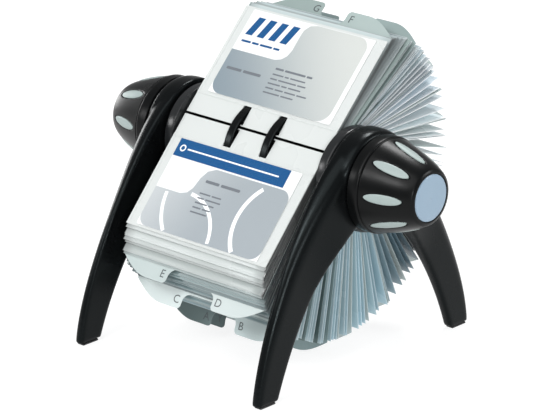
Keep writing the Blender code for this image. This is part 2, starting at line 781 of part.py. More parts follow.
def main():
    for word, side in SIDES:
        side_frame(word, side)
        bearing_bush(word, side)
        for end_word, end in ENDS:
            foot_pad(word, side, end_word, end)
        card_rail(word, side)
        end_flange(word, side)
        knob(word, side, grip_shapes(f"{word}_grip_windows", side, 0.0))
        grip_insert(word, side)
        end_cap(word, side)
        knob_screw(word, side)
    axle()
    card_drum()
    groove = rail_groove()
    for letter, share in DIVIDERS:
        hand = -1 if (ord(letter) - ord("A")) % 2 == 0 else 1
        index_divider(letter, share, hand)
    shares = [0.0, *(share for _, share in DIVIDERS), 1.0]
    names = ["behind_upper_page", *(letter for letter, _ in DIVIDERS)]
    for name, first, last in zip(names, shares, shares[1:]):
        pocket_pack(f"pocket_pack_{name}", first, last, groove)
    page("upper", UPPER_TILT, 1)
    page("lower", LOWER_TILT, -1)
    for obj in PARTS.objects:
        if obj.type == "MESH":
            shade_round(obj)
    centre_over_footprint()


main()
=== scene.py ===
"""Looks of the rotary card file: frames, knobs, a wheel of pockets and lettered dividers, and two cards.

Metres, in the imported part's own frame: +X along the axle to the right-hand knob, -Y towards the user, +Z up.
"""

import math
import random

import bmesh
import bpy
from mathutils import Matrix, Vector


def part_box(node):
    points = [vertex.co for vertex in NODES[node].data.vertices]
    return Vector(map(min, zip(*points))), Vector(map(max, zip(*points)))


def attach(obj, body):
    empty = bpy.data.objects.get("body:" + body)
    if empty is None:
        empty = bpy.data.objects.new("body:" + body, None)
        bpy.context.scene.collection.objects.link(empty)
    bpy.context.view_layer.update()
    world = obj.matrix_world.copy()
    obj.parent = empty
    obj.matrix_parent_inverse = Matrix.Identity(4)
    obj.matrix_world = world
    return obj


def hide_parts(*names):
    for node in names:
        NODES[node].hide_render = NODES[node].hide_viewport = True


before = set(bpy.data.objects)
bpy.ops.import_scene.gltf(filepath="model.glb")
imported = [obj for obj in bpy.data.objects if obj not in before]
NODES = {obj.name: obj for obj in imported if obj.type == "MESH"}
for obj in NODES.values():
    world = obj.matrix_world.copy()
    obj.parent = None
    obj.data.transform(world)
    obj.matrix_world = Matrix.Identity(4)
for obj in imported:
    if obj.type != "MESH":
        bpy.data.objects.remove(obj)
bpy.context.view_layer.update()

MM = 0.001
SIDES = (("left", -1), ("right", 1))
AXLE_LOW, AXLE_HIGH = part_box("axle")
AXLE_Y = (AXLE_LOW.y + AXLE_HIGH.y) / 2
AXLE_Z = (AXLE_LOW.z + AXLE_HIGH.z) / 2
rng = random.Random(7)

# ---------------------------------------------------------------- materials


def link_noise(tree, coords, scale, detail=3.0):
    noise = tree.nodes.new("ShaderNodeTexNoise")
    noise.inputs["Scale"].default_value = scale
    noise.inputs["Detail"].default_value = detail
    tree.links.new(coords, noise.inputs["Vector"])
    return noise.outputs["Fac"]


def map_range(tree, value, low, high):
    node = tree.nodes.new("ShaderNodeMapRange")
    node.inputs["From Min"].default_value = 0.3
    node.inputs["From Max"].default_value = 0.7
    node.inputs["To Min"].default_value = low
    node.inputs["To Max"].default_value = high
    tree.links.new(value, node.inputs["Value"])
    return node.outputs["Result"]


def mix_colour(tree, factor, first, second, mode="MIX"):
    node = tree.nodes.new("ShaderNodeMix")
    node.data_type = "RGBA"
    node.blend_type = mode
    for socket, value in ((node.inputs["Factor"], factor), (node.inputs[6], first), (node.inputs[7], second)):
        if isinstance(value, (tuple, float, int)):
            socket.default_value = (*value, 1.0) if isinstance(value, tuple) else value
        else:
            tree.links.new(value, socket)
    return node.outputs[2]


def plastic(name, colour, other, rough, blotch=40.0, grain=1500.0, bump=0.05, attribute=None, **sockets):
    """Plastic, rubber or paper: a base that drifts between two colours, uneven gloss and a fine grain."""
    made = bpy.data.materials.new(name)
    made.use_nodes = True
    tree = made.node_tree
    shader = tree.nodes["Principled BSDF"]
    coords = tree.nodes.new("ShaderNodeTexCoord").outputs["Object"]
    drift = link_noise(tree, coords, blotch)
    base = mix_colour(tree, drift, colour, other)
    # On the leaves and dividers, the stored colour multiplied in holds painted light and shade
    if attribute:
        stored = tree.nodes.new("ShaderNodeAttribute")
        stored.attribute_name = attribute
        base = mix_colour(tree, 1.0, base, stored.outputs["Color"], "MULTIPLY")
    tree.links.new(base, shader.inputs["Base Color"])
    tree.links.new(map_range(tree, drift, rough[0], rough[1]), shader.inputs["Roughness"])
    relief = tree.nodes.new("ShaderNodeBump")
    relief.inputs["Strength"].default_value = bump
    relief.inputs["Distance"].default_value = 0.1 * MM
    tree.links.new(link_noise(tree, coords, grain, 2.0), relief.inputs["Height"])
    tree.links.new(relief.outputs["Normal"], shader.inputs["Normal"])
    for socket, value in sockets.items():
        shader.inputs[socket.replace("_", " ")].default_value = value
    return made


# Soft, slightly blue shine of the black plastics
SATIN = {"Specular_IOR_Level": 0.11, "Specular_Tint": (0.82, 0.97, 1.0, 1.0)}
BLACK = plastic(
    "satin_black", (0.002, 0.0024, 0.0026), (0.0036, 0.004, 0.0044), (0.24, 0.31), bump=0.08, **SATIN
)
KNOB_BLACK = plastic(
    "knob_black", (0.002, 0.0024, 0.0025), (0.0034, 0.0038, 0.004), (0.27, 0.33), bump=0.06,
    Specular_IOR_Level=0.13,
)
RAIL_BLACK = plastic("rail_black", (0.003, 0.0035, 0.0035), (0.005, 0.005, 0.0055), (0.22, 0.3), **SATIN)
GREY = plastic("smoke_grey", (0.012, 0.013, 0.014), (0.018, 0.019, 0.02), (0.2, 0.28), Specular_IOR_Level=0.3)
INLAY = plastic("grip_inlay", (0.27, 0.33, 0.32), (0.31, 0.37, 0.36), (0.42, 0.52), bump=0.12)
CAP = plastic("cap_blue_grey", (0.22, 0.31, 0.40), (0.25, 0.345, 0.435), (0.3, 0.36), bump=0.06)
RUBBER = plastic("pad_rubber", (0.015, 0.015, 0.016), (0.024, 0.024, 0.025), (0.75, 0.9), bump=0.3)
STEEL = plastic("turned_steel", (0.5, 0.51, 0.53), (0.6, 0.61, 0.63), (0.22, 0.34), Metallic=1.0)
ACETAL = plastic("acetal_bush", (0.7, 0.69, 0.65), (0.78, 0.77, 0.73), (0.38, 0.5))
FILM = plastic("pocket_film", (0.565, 0.59, 0.58), (0.575, 0.60, 0.59), (0.26, 0.31), blotch=18.0)
LEAF = plastic("leaf_film", (0.88, 0.9, 0.91), (1.0, 1.0, 1.0), (0.22, 0.38), 25.0, attribute="leaf_colour_and_shade")
DIVIDER = plastic(
    "divider_film", (0.47, 0.52, 0.52), (0.53, 0.575, 0.575), (0.34, 0.44), attribute="leaf_colour_and_shade"
)
LETTER = plastic("letter_ink", (0.05, 0.06, 0.065), (0.07, 0.08, 0.085), (0.5, 0.6))
CARD_WHITE = plastic("card_white", (0.74, 0.75, 0.75), (0.78, 0.785, 0.785), (0.42, 0.5), grain=2500.0)
INK_BLUE = plastic(
    "ink_blue", (0.002, 0.066, 0.200), (0.003, 0.074, 0.220), (0.42, 0.5), Specular_IOR_Level=0.05
)
INK_GREY = plastic("ink_grey", (0.10, 0.115, 0.135), (0.15, 0.165, 0.185), (0.45, 0.52))
INK_WHITE = plastic("ink_white", (0.84, 0.86, 0.87), (0.9, 0.91, 0.915), (0.4, 0.46))
CLEAR = plastic("clear_film", (0.9, 0.95, 0.97), (0.95, 0.97, 1.0), (0.05, 0.1), Alpha=0.008)


# Where the gradient of a printed panel starts and ends along its own direction
GRADIENT_START = -28.0 * MM
GRADIENT_END = 72.0 * MM


def silver_print(name, dark, light, angle):
    """Printed silver panel: a soft gradient across the card, in the card's own millimetres."""
    made = plastic(name, dark, light, (0.3, 0.36))
    tree = made.node_tree
    shader = tree.nodes["Principled BSDF"]
    coords = tree.nodes.new("ShaderNodeTexCoord").outputs["Object"]
    turn = tree.nodes.new("ShaderNodeMapping")
    turn.inputs["Rotation"].default_value = (0.0, 0.0, math.radians(angle))
    tree.links.new(coords, turn.inputs["Vector"])
    split = tree.nodes.new("ShaderNodeSeparateXYZ")
    tree.links.new(turn.outputs["Vector"], split.inputs["Vector"])
    ramp = tree.nodes.new("ShaderNodeMapRange")
    ramp.interpolation_type = "SMOOTHSTEP"
    ramp.inputs["From Min"].default_value = GRADIENT_START
    ramp.inputs["From Max"].default_value = GRADIENT_END
    tree.links.new(split.outputs["X"], ramp.inputs["Value"])
    tree.links.new(mix_colour(tree, ramp.outputs["Result"], dark, light), shader.inputs["Base Color"])
    return made


SILVER_UPPER = silver_print("silver_upper", (0.19, 0.24, 0.275), (0.53, 0.55, 0.53), -38.0)
SILVER_LOWER = silver_print("silver_lower", (0.30, 0.335, 0.36), (0.60, 0.62, 0.625), 160.0)

# ---------------------------------------------------------------- building blocks


def finish_mesh(name, bm, materials, smooth=35.0):
    bmesh.ops.recalc_face_normals(bm, faces=bm.faces)
    mesh = bpy.data.meshes.new(name)
    bm.to_mesh(mesh)
    bm.free()
    made = bpy.data.objects.new(name, mesh)
    bpy.context.scene.collection.objects.link(made)
    for material in materials:
        mesh.materials.append(material)
    mesh.shade_smooth()
    mesh.set_sharp_from_angle(angle=math.radians(smooth))
    return made


def settle(obj, body, slot, *nodes):
    """The piece rides on a body and stands for these CAD nodes, which it hides; its slot is not used."""
    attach(obj, body)
    if nodes:
        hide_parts(*nodes)
    return obj


def on_axle(along, radius, degrees):
    angle = math.radians(degrees)
    return Vector((along, AXLE_Y + radius * math.cos(angle), AXLE_Z + radius * math.sin(angle)))


def soften(profile, radius, steps=3):
    """The loop with each corner rounded by at most that radius."""
    rounded = []
    count = len(profile)
    for i in range(count):
        before, corner, after = (Vector(profile[(i + k) % count]) for k in (-1, 0, 1))
        a, b = before - corner, after - corner
        reach = min(radius, a.length * 0.45, b.length * 0.45)
        start, end = corner + a.normalized() * reach, corner + b.normalized() * reach
        for k in range(steps + 1):
            t = k / steps
            rounded.append(((1 - t) ** 2) * start + 2 * t * (1 - t) * corner + t * t * end)
    return [(p.x, p.y) for p in rounded]


def join_loops(bm, here, there):
    """Faces between two closed loops of as many points."""
    for i in range(len(here)):
        j = (i + 1) % len(here)
        bm.faces.new((here[i], here[j], there[j], there[i]))


def join_round(bm, loops):
    """Faces from each loop to the next, and from the last one to the first."""
    for here, there in zip(loops, (*loops[1:], loops[0])):
        join_loops(bm, here, there)


def lathe(bm, profile, side, steps=128):
    """Ring of faces from a closed profile of (distance along the axle, radius)."""
    join_round(bm, [
        [bm.verts.new(on_axle(side * x, r, 360.0 * k / steps)) for x, r in profile] for k in range(steps)
    ])


def turned_piece(name, profile, side, material, corner):
    bm = bmesh.new()
    lathe(bm, soften(profile, corner), side)
    return finish_mesh(name, bm, [material])


def apply_modifiers(obj):
    bpy.context.view_layer.update()
    evaluated = obj.evaluated_get(bpy.context.evaluated_depsgraph_get())
    mesh = bpy.data.meshes.new_from_object(evaluated)
    obj.modifiers.clear()
    obj.data = mesh


# ---------------------------------------------------------------- side frames

HUB_RADIUS = 29.0 * MM
HUB_INNER_X = 61.0 * MM
HUB_OUTER_X = 74.6 * MM
HUB_BORE_RADIUS = 9.9 * MM
# Curves of a leg's outer and inner edge from the foot towards the hub, as (Y, Z) in mm, and where each
# one meets the hub's rim in degrees
OUTER_EDGE = ((-89.7, 1.5), (-86.0, 42.0), (-45.5, 118.0))
INNER_EDGE = ((-73.0, 1.5), (-59.0, 40.0), (-38.0, 70.0))
OUTER_MEETS_RIM = 114.0
INNER_MEETS_RIM = 234.0
# In mm, at the foot and what is added up to the hub: inner face, outer face and the roll of the outer edge
LEG_INNER_FACE = (64.0, -2.6)
LEG_OUTER_FACE = (70.0, 4.3)
LEG_ROLL = (2.6, 6.4)
LEG_CORNER = 1.8 * MM
SECTION_POINTS = 8
LEG_STATIONS = 44
# Grain that the parts of a frame are blended with into one moulding
VOXEL = 0.75 * MM


def bezier(a, b, c, d, t):
    s = 1.0 - t
    return Vector([
        s**3 * p + 3 * s * s * t * q + 3 * s * t * t * u + t**3 * v for p, q, u, v in zip(a, b, c, d)
    ])


def smooth_step(t):
    t = min(1.0, max(0.0, t))
    return t * t * (3.0 - 2.0 * t)


def rim_point(degrees):
    angle = math.radians(degrees)
    radius = HUB_RADIUS - 0.3 * MM
    return radius * math.cos(angle), AXLE_Z + radius * math.sin(angle)


def leg_section(t):
    """Outline of the leg at share t of its height, as (X, depth, height), with its outer corner rolled."""
    outer = bezier(*[(y * MM, z * MM) for y, z in OUTER_EDGE], rim_point(OUTER_MEETS_RIM), t)
    inner = bezier(*[(y * MM, z * MM) for y, z in INNER_EDGE], rim_point(INNER_MEETS_RIM), t)
    near = (LEG_INNER_FACE[0] + LEG_INNER_FACE[1] * smooth_step(t * 1.1)) * MM
    far = (LEG_OUTER_FACE[0] + LEG_OUTER_FACE[1] * smooth_step((t - 0.45) / 0.5)) * MM
    rolled = (LEG_ROLL[0] + LEG_ROLL[1] * smooth_step(t * 1.2)) * MM
    width = (inner - outer).length
    corners = (
        (near, 0.0, LEG_CORNER, LEG_CORNER), (near, width, LEG_CORNER, LEG_CORNER),
        (far, width, LEG_CORNER, LEG_CORNER), (far, 0.0, rolled, rolled * 1.2),
    )
    outline = []
    for index, (x, s, reach_x, reach_s) in enumerate(corners):
        into_x = reach_x if x == near else -reach_x
        into_s = reach_s if s == 0.0 else -reach_s
        arc = []
        for k in range(SECTION_POINTS + 1):
            angle = math.pi / 2 * k / SECTION_POINTS
            arc.append((x + into_x * (1 - math.sin(angle)), s + into_s * (1 - math.cos(angle))))
        outline += arc if index in (0, 2) else list(reversed(arc))
    across = (inner - outer) / width
    return [(x, outer.x + across.x * s, outer.y + across.y * s) for x, s in outline]


def leg(bm, side, end):
    rings = []
    for i in range(LEG_STATIONS + 1):
        section = leg_section(i / LEG_STATIONS)
        rings.append([bm.verts.new((side * x, AXLE_Y - end * y, z)) for x, y, z in section])
    for lower, upper in zip(rings, rings[1:]):
        join_loops(bm, lower, upper)
    bm.faces.new(rings[0])
    bm.faces.new(rings[-1])


def side_frame(word, side):
    """Arched frame with its hood round the knob, as one moulding with soft edges."""
    bm = bmesh.new()
    profile = (
        (HUB_INNER_X, HUB_BORE_RADIUS), (HUB_INNER_X, HUB_RADIUS), (HUB_OUTER_X - 5.0 * MM, HUB_RADIUS),
        (HUB_OUTER_X - 1.6 * MM, HUB_RADIUS - 0.7 * MM), (HUB_OUTER_X, HUB_RADIUS - 2.4 * MM),
        (HUB_OUTER_X, HUB_BORE_RADIUS),
    )
    lathe(bm, soften(profile, 1.4 * MM, 4), side, 160)
    for end in (-1, 1):
        leg(bm, side, end)
    made = finish_mesh(f"{word}_side_frame", bm, [BLACK], 60.0)
    remesh = made.modifiers.new("remesh", "REMESH")
    remesh.mode = "VOXEL"
    remesh.voxel_size = VOXEL
    remesh.use_smooth_shade = True
    smooth = made.modifiers.new("smooth", "SMOOTH")
    smooth.factor = 0.5
    smooth.iterations = 12
    apply_modifiers(made)
    made.data.shade_smooth()
    settle(made, "stand", "black_plastic", f"{word}_frame")


# ---------------------------------------------------------------- knobs

KNOB_BASE_X = 75.3 * MM
KNOB_GROOVE_X = 82.0 * MM
KNOB_END_X = 111.8 * MM
KNOB_BASE_RADIUS = 27.2 * MM
KNOB_NOSE_RADIUS = 14.6 * MM
KNOB_WALL = 2.4 * MM
KNOB_SLEEVE_RADIUS = 8.3 * MM
KNOB_ROOF_X = 104.0 * MM
KNOB_ROOF_RADIUS = 13.0 * MM
GRIP_SINK = 0.75 * MM
KNOB_STEPS = 256
SHELL_POINTS = 72
AXLE_STOP_X = 103.3 * MM
AXLE_HOLE_RADIUS = 6.1 * MM
SCREW_HOLE_RADIUS = 2.2 * MM
SCREW_WELL_RADIUS = 5.0 * MM
SCREW_WELL_X = 104.6 * MM
CAP_RADIUS = 13.2 * MM
CAP_SEAT_RADIUS = CAP_RADIUS + 0.3 * MM
GRIP_COUNT = 8
GRIP_PHASE = 88.0
GRIP_MIDDLE_X = 95.9 * MM
GRIP_HALF_LENGTH = 10.4 * MM
GRIP_HALF_WIDTH = 2.8 * MM
GRIP_RINGS = 7
GRIP_AROUND = 40


def knob_radius(x):
    """Outer radius of the knob's cone: nearly straight, and rounding over towards its nose."""
    t = min(1.0, max(0.0, (x - KNOB_GROOVE_X) / (KNOB_END_X - KNOB_GROOVE_X)))
    drop = KNOB_BASE_RADIUS - 0.5 * MM - KNOB_NOSE_RADIUS
    return KNOB_NOSE_RADIUS + drop * (0.75 * (1.0 - t) + 0.25 * math.sqrt(max(0.0, 1.0 - t**3)))


def grip_reach(x, radius, degrees):
    """How far a point is inside the nearest grip's outline: 0 at its edge, 1 on its middle."""
    pitch = 360.0 / GRIP_COUNT
    off = (degrees - GRIP_PHASE + pitch / 2) % pitch - pitch / 2
    across = math.radians(off) * radius / GRIP_HALF_WIDTH
    along = (x - GRIP_MIDDLE_X) / GRIP_HALF_LENGTH
    return 1.0 - math.hypot(across, along)


def knob(word, side):
    """Hollow knob whose shell dips round each grip, with a seat for the end cap."""
    seat_x = KNOB_END_X - 1.5 * MM
    groove_radius = KNOB_BASE_RADIUS - 1.1 * MM
    outline = [(KNOB_BASE_X, KNOB_BASE_RADIUS - 0.6 * MM), (KNOB_BASE_X + 0.5 * MM, KNOB_BASE_RADIUS)]
    outline += [(x * MM, KNOB_BASE_RADIUS) for x in (77.0, 79.0, 80.8)]
    outline += [
        (KNOB_GROOVE_X - 0.5 * MM, KNOB_BASE_RADIUS - 0.15 * MM),
        (KNOB_GROOVE_X, KNOB_BASE_RADIUS - 0.5 * MM),
        (KNOB_GROOVE_X + 0.15 * MM, groove_radius), (KNOB_GROOVE_X + 0.7 * MM, groove_radius),
    ]
    start, end, shell = KNOB_GROOVE_X + 0.95 * MM, KNOB_END_X - 0.7 * MM, len(outline)
    for i in range(SHELL_POINTS + 1):
        x = start + (end - start) * i / SHELL_POINTS
        outline.append((x, knob_radius(x)))
    outline += [
        (KNOB_END_X - 0.2 * MM, KNOB_NOSE_RADIUS - 0.35 * MM), (KNOB_END_X, KNOB_NOSE_RADIUS - 0.9 * MM),
        (KNOB_END_X - 0.1 * MM, CAP_SEAT_RADIUS), (seat_x, CAP_SEAT_RADIUS), (seat_x, SCREW_WELL_RADIUS),
        (SCREW_WELL_X, SCREW_WELL_RADIUS), (SCREW_WELL_X, SCREW_HOLE_RADIUS),
        (AXLE_STOP_X, SCREW_HOLE_RADIUS), (AXLE_STOP_X, AXLE_HOLE_RADIUS), (KNOB_BASE_X, AXLE_HOLE_RADIUS),
        (KNOB_BASE_X, KNOB_SLEEVE_RADIUS), (KNOB_ROOF_X, KNOB_SLEEVE_RADIUS), (KNOB_ROOF_X, KNOB_ROOF_RADIUS),
    ]
    outline += [(x * MM, knob_radius(x * MM) - KNOB_WALL) for x in (99.0, 90.0)]
    outline.append((KNOB_BASE_X, KNOB_BASE_RADIUS - 2.0 * MM))
    bm = bmesh.new()
    rings = []
    for k in range(KNOB_STEPS):
        degrees = 360.0 * k / KNOB_STEPS
        ring = []
        for index, (x, r) in enumerate(outline):
            if shell <= index <= shell + SHELL_POINTS:
                r -= GRIP_SINK * smooth_step((grip_reach(x, r, degrees) + 0.10) / 0.13)
            ring.append(bm.verts.new(on_axle(side * x, r, degrees)))
        rings.append(ring)
    join_round(bm, rings)
    made = finish_mesh(f"{word}_knob_shell", bm, [KNOB_BLACK], 50.0)
    settle(made, "wheel", "black_plastic", f"{word}_knob")


def grip_pads(word, side):
    """Eight soft leaf-shaped pads, each crowned along its middle."""
    bm = bmesh.new()
    for k in range(GRIP_COUNT):
        middle = GRIP_PHASE + 360.0 / GRIP_COUNT * k
        loops = {}
        for layer in (1, 0):
            for ring in range(GRIP_RINGS + 1):
                share = 0.975 * ring / GRIP_RINGS
                loop = []
                for i in range(GRIP_AROUND if ring else 1):
                    angle = math.tau * i / GRIP_AROUND
                    x = GRIP_MIDDLE_X + GRIP_HALF_LENGTH * share * math.cos(angle)
                    across = GRIP_HALF_WIDTH * share * math.sin(angle)
                    top = knob_radius(x) + (0.55 * math.sqrt(max(0.0, 1.0 - share**3)) - 0.12) * MM
                    radius = top if layer else knob_radius(x) - 1.3 * MM
                    turn = middle + math.degrees(across / radius)
                    loop.append(bm.verts.new(on_axle(side * x, radius, turn)))
                loops[layer, ring] = loop
            centre, first = loops[layer, 0][0], loops[layer, 1]
            for i in range(GRIP_AROUND):
                bm.faces.new((centre, first[i], first[(i + 1) % GRIP_AROUND]))
            for ring in range(1, GRIP_RINGS):
                join_loops(bm, loops[layer, ring], loops[layer, ring + 1])
        join_loops(bm, loops[0, GRIP_RINGS], loops[1, GRIP_RINGS])
    made = finish_mesh(f"{word}_grip_pads", bm, [INLAY], 50.0)
    settle(made, "wheel", "pale_inlay", f"{word}_grip_insert")


def end_cap(word, side):
    x = KNOB_END_X
    profile = (
        (x - 1.2 * MM, 0.02 * MM), (x - 1.2 * MM, CAP_RADIUS), (x - 0.25 * MM, CAP_RADIUS),
        (x + 0.15 * MM, CAP_RADIUS - 0.8 * MM), (x + 0.28 * MM, CAP_RADIUS - 3.0 * MM),
        (x + 0.36 * MM, 6.0 * MM), (x + 0.4 * MM, 0.02 * MM),
    )
    made = turned_piece(f"{word}_cap_disc", profile, side, CAP, 0.25 * MM)
    settle(made, "wheel", "pale_cap", f"{word}_end_cap")


# ---------------------------------------------------------------- drum, rails and flanges

# In mm: the middle of each rail, and one half of its T-shaped section as (half width, radius)
RAIL_OFFSET = 13.3
RAIL_SECTION = ((1.2, 19.3), (1.2, 25.8), (2.5, 25.8), (2.5, 26.2), (1.7, 26.4))
FLANGE_INNER_X = 53.4 * MM
FLANGE_OUTER_X = 59.6 * MM
FLANGE_RADIUS = 27.5 * MM
FLANGE_THICKNESS = 2.0 * MM
DRUM_END_X = 53.1 * MM
DRUM_RADIUS = 19.0 * MM
DRUM_BORE_RADIUS = 17.2 * MM
DRUM_SLEEVE_RADIUS = 8.1 * MM
DRUM_HALF_WEB = 2.0 * MM


def wheel_core():
    for word, side in SIDES:
        middle = RAIL_OFFSET * MM
        profile = [(middle - x * MM, r * MM) for x, r in RAIL_SECTION]
        profile += [(middle + x * MM, r * MM) for x, r in reversed(RAIL_SECTION)]
        rail = turned_piece(f"{word}_rail_ring", profile, side, RAIL_BLACK, 0.15 * MM)
        settle(rail, "wheel", "black_plastic", f"{word}_card_rail")
        profile = (
            (FLANGE_INNER_X, AXLE_HOLE_RADIUS), (FLANGE_INNER_X, FLANGE_RADIUS),
            (FLANGE_OUTER_X - 0.8 * MM, FLANGE_RADIUS), (FLANGE_OUTER_X, FLANGE_RADIUS - 0.8 * MM),
            (FLANGE_OUTER_X, FLANGE_RADIUS - 2.5 * MM),
            (FLANGE_INNER_X + FLANGE_THICKNESS, FLANGE_RADIUS - 3.0 * MM),
            (FLANGE_INNER_X + FLANGE_THICKNESS, AXLE_HOLE_RADIUS),
        )
        flange = turned_piece(f"{word}_flange_disc", profile, side, GREY, 0.5 * MM)
        settle(flange, "wheel", "grey_plastic", f"{word}_end_flange")
    half = [
        (DRUM_END_X, DRUM_RADIUS), (DRUM_END_X, DRUM_BORE_RADIUS), (DRUM_HALF_WEB, DRUM_BORE_RADIUS),
        (DRUM_HALF_WEB, DRUM_SLEEVE_RADIUS), (DRUM_END_X, DRUM_SLEEVE_RADIUS), (DRUM_END_X, AXLE_HOLE_RADIUS),
    ]
    profile = [(-x, r) for x, r in reversed(half)] + half
    drum = turned_piece("drum_spool", profile, 1, RAIL_BLACK, 0.4 * MM)
    settle(drum, "wheel", "black_plastic", "card_drum")


# ---------------------------------------------------------------- leaves

# In mm: half the width of a leaf, and its length from the foot to the outer edge
HALF_WIDTH = 52.0
LEAF_LENGTH = 72.0
# Where the feet of the first and last leaf are on the wheel, in degrees
FIRST_FOOT = 133.0
LAST_FOOT = -219.0
# How the leaves hang: share of the way round, direction of the leaf in degrees, radius of its foot in mm
FAN = (
    (0.000, 45.8, 22.6),
    (0.094, 36.6, 20.3),
    (0.190, 15.0, 20.3),
    (0.264, -11.0, 20.8),
    (0.350, -33.0, 21.8),
    (0.480, -59.0, 23.6),
    (0.590, -89.0, 24.4),
    (0.744, -105.0, 24.4),
    (0.869, -124.5, 23.4),
    (1.000, -132.0, 22.6),
)
# Share of the way round of each divider: those of the CAD part, and those between them
CAD_DIVIDERS = {
    "F": 0.018, "G": 0.078, "H": 0.098, "K": 0.207, "N": 0.312, "Q": 0.417, "T": 0.522, "W": 0.627,
    "A": 0.746, "B": 0.786, "C": 0.826, "D": 0.866, "E": 0.906,
}
MORE_DIVIDERS = {
    "I": 0.134, "J": 0.171, "L": 0.242, "M": 0.277, "O": 0.347, "P": 0.382, "R": 0.452, "S": 0.487,
    "U": 0.557, "V": 0.592, "X": 0.662, "Y": 0.697,
}
# Painted shade and light on the dividers that are not the plain one: dark where they lie deep in the fan in
# shade, lighter where light falls on them
DIVIDER_TINTS_AND_SHADE = {
    "A": (0.20, 0.26, 0.26), "Y": (0.14, 0.20, 0.20), "X": (0.36, 0.46, 0.47), "B": (0.86, 0.93, 0.93),
    "C": (1.12, 1.15, 1.14), "D": (1.0, 1.02, 1.01), "E": (0.88, 0.92, 0.91),
    "F": (0.66, 0.73, 0.71), "G": (0.52, 0.59, 0.57), "H": (0.50, 0.58, 0.57), "I": (0.36, 0.44, 0.44),
}
PLAIN_DIVIDER = (0.86, 0.92, 0.92)
# How far a divider is shifted to one side, in mm: past about 0.5, its slots run into the rails
DIVIDER_SHIFT = {"A": 1.6, "B": -1.6, "D": -1.6, "F": -2.0, "G": 2.0, "H": 1.6}
DIVIDER_HALF_THICKNESS = 0.15 * MM
# Where a tab's letter is, in mm from the divider's middle and foot, and how thick its ink is
LETTER_SPOT = (20.0, 76.6)
LETTER_HALF_THICKNESS = 0.02 * MM
# Room that a divider takes, as a share of the way round
LEAF_STEP = 0.0052
# Share of the way round, step to the next pocket, thickness of a pocket in mm
LEAF_PACES = (
    (0.10, 0.0060, 0.42), (0.34, 0.0092, 0.50), (0.745, 0.0112, 0.60), (0.905, 0.0096, 0.80),
    (1.0, 0.0135, 1.05),
)
# Colour of the film round the wheel with painted light and shade: share of the way round, colour (the film's
# blue tint, painted dark where the fan lies in shade and pale where light comes through), and how pale its
# welded edges are (their whitish film, with a painted highlight where light falls)
FILM_COLOUR_AND_SHADE = (
    (0.00, (0.48, 0.54, 0.54), 0.10),
    (0.05, (0.30, 0.38, 0.39), 0.30),
    (0.10, (0.26, 0.36, 0.38), 0.60),
    (0.18, (0.50, 0.62, 0.70), 0.80),
    (0.26, (0.90, 0.99, 1.00), 0.95),
    (0.32, (0.66, 0.80, 0.88), 0.80),
    (0.37, (0.06, 0.10, 0.13), 0.08),
    (0.48, (0.09, 0.16, 0.20), 0.10),
    (0.53, (0.32, 0.49, 0.56), 0.30),
    (0.62, (0.31, 0.48, 0.55), 0.28),
    (0.74, (0.34, 0.47, 0.51), 0.30),
    (0.80, (0.18, 0.25, 0.26), 0.26),
    (0.86, (0.15, 0.21, 0.22), 0.18),
    (0.90, (0.18, 0.24, 0.24), 0.20),
    (0.92, (0.40, 0.44, 0.43), 0.25),
    (1.00, (0.44, 0.47, 0.46), 0.25),
)


def fan_state(t):
    """Leaf at share t of the way round: its foot as (Y, Z) and its direction in degrees."""
    spans = list(zip(FAN, FAN[1:]))
    index = next((i for i, (a, b) in enumerate(spans) if t <= b[0]), len(spans) - 1)
    a, b = spans[index]
    before, after = FAN[max(0, index - 1)], FAN[min(len(FAN) - 1, index + 2)]
    s = (t - a[0]) / (b[0] - a[0])
    values = []
    for column in (1, 2):
        slope_a = (b[column] - before[column]) / (b[0] - before[0]) * (b[0] - a[0])
        slope_b = (after[column] - a[column]) / (after[0] - a[0]) * (b[0] - a[0])
        values.append(
            (2 * s**3 - 3 * s**2 + 1) * a[column] + (s**3 - 2 * s**2 + s) * slope_a
            + (3 * s**2 - 2 * s**3) * b[column] + (s**3 - s**2) * slope_b
        )
    lean, radius = values
    angle = math.radians(FIRST_FOOT + (LAST_FOOT - FIRST_FOOT) * t)
    return (AXLE_Y + radius * MM * math.cos(angle), AXLE_Z + radius * MM * math.sin(angle)), lean


def film_colour_and_shade_at(t):
    """Colour of the film at share t of the way round, with its painted light and shade, and the paleness of
    its edges, with their painted highlight.
    """
    for (a, first, pale_a), (b, second, pale_b) in zip(FILM_COLOUR_AND_SHADE, FILM_COLOUR_AND_SHADE[1:]):
        if t <= b:
            s = (t - a) / (b - a)
            return [p + (q - p) * s for p, q in zip(first, second)], pale_a + (pale_b - pale_a) * s
    return list(FILM_COLOUR_AND_SHADE[-1][1]), FILM_COLOUR_AND_SHADE[-1][2]


# Grid of a leaf in mm, across one half of it and from its foot outwards, and its open cells at each rail
HALF_COLUMNS = (4.0, 10.45, 16.15, 24.0, 34.0, 44.0, 51.2, HALF_WIDTH)
COLUMNS = (*[-x for x in reversed(HALF_COLUMNS)], *HALF_COLUMNS)
ROWS = (0.0, 0.7, 12.5, 20.0, 30.0, 40.0, 50.0, 60.0, 68.0, 71.4, LEAF_LENGTH)
SLOT_COLUMNS = (5, 9)
SLOT_ROWS = 2
EDGE_THINNESS = 0.35
# Whiteness of the film's cut edges
EDGE_WHITE = 0.9


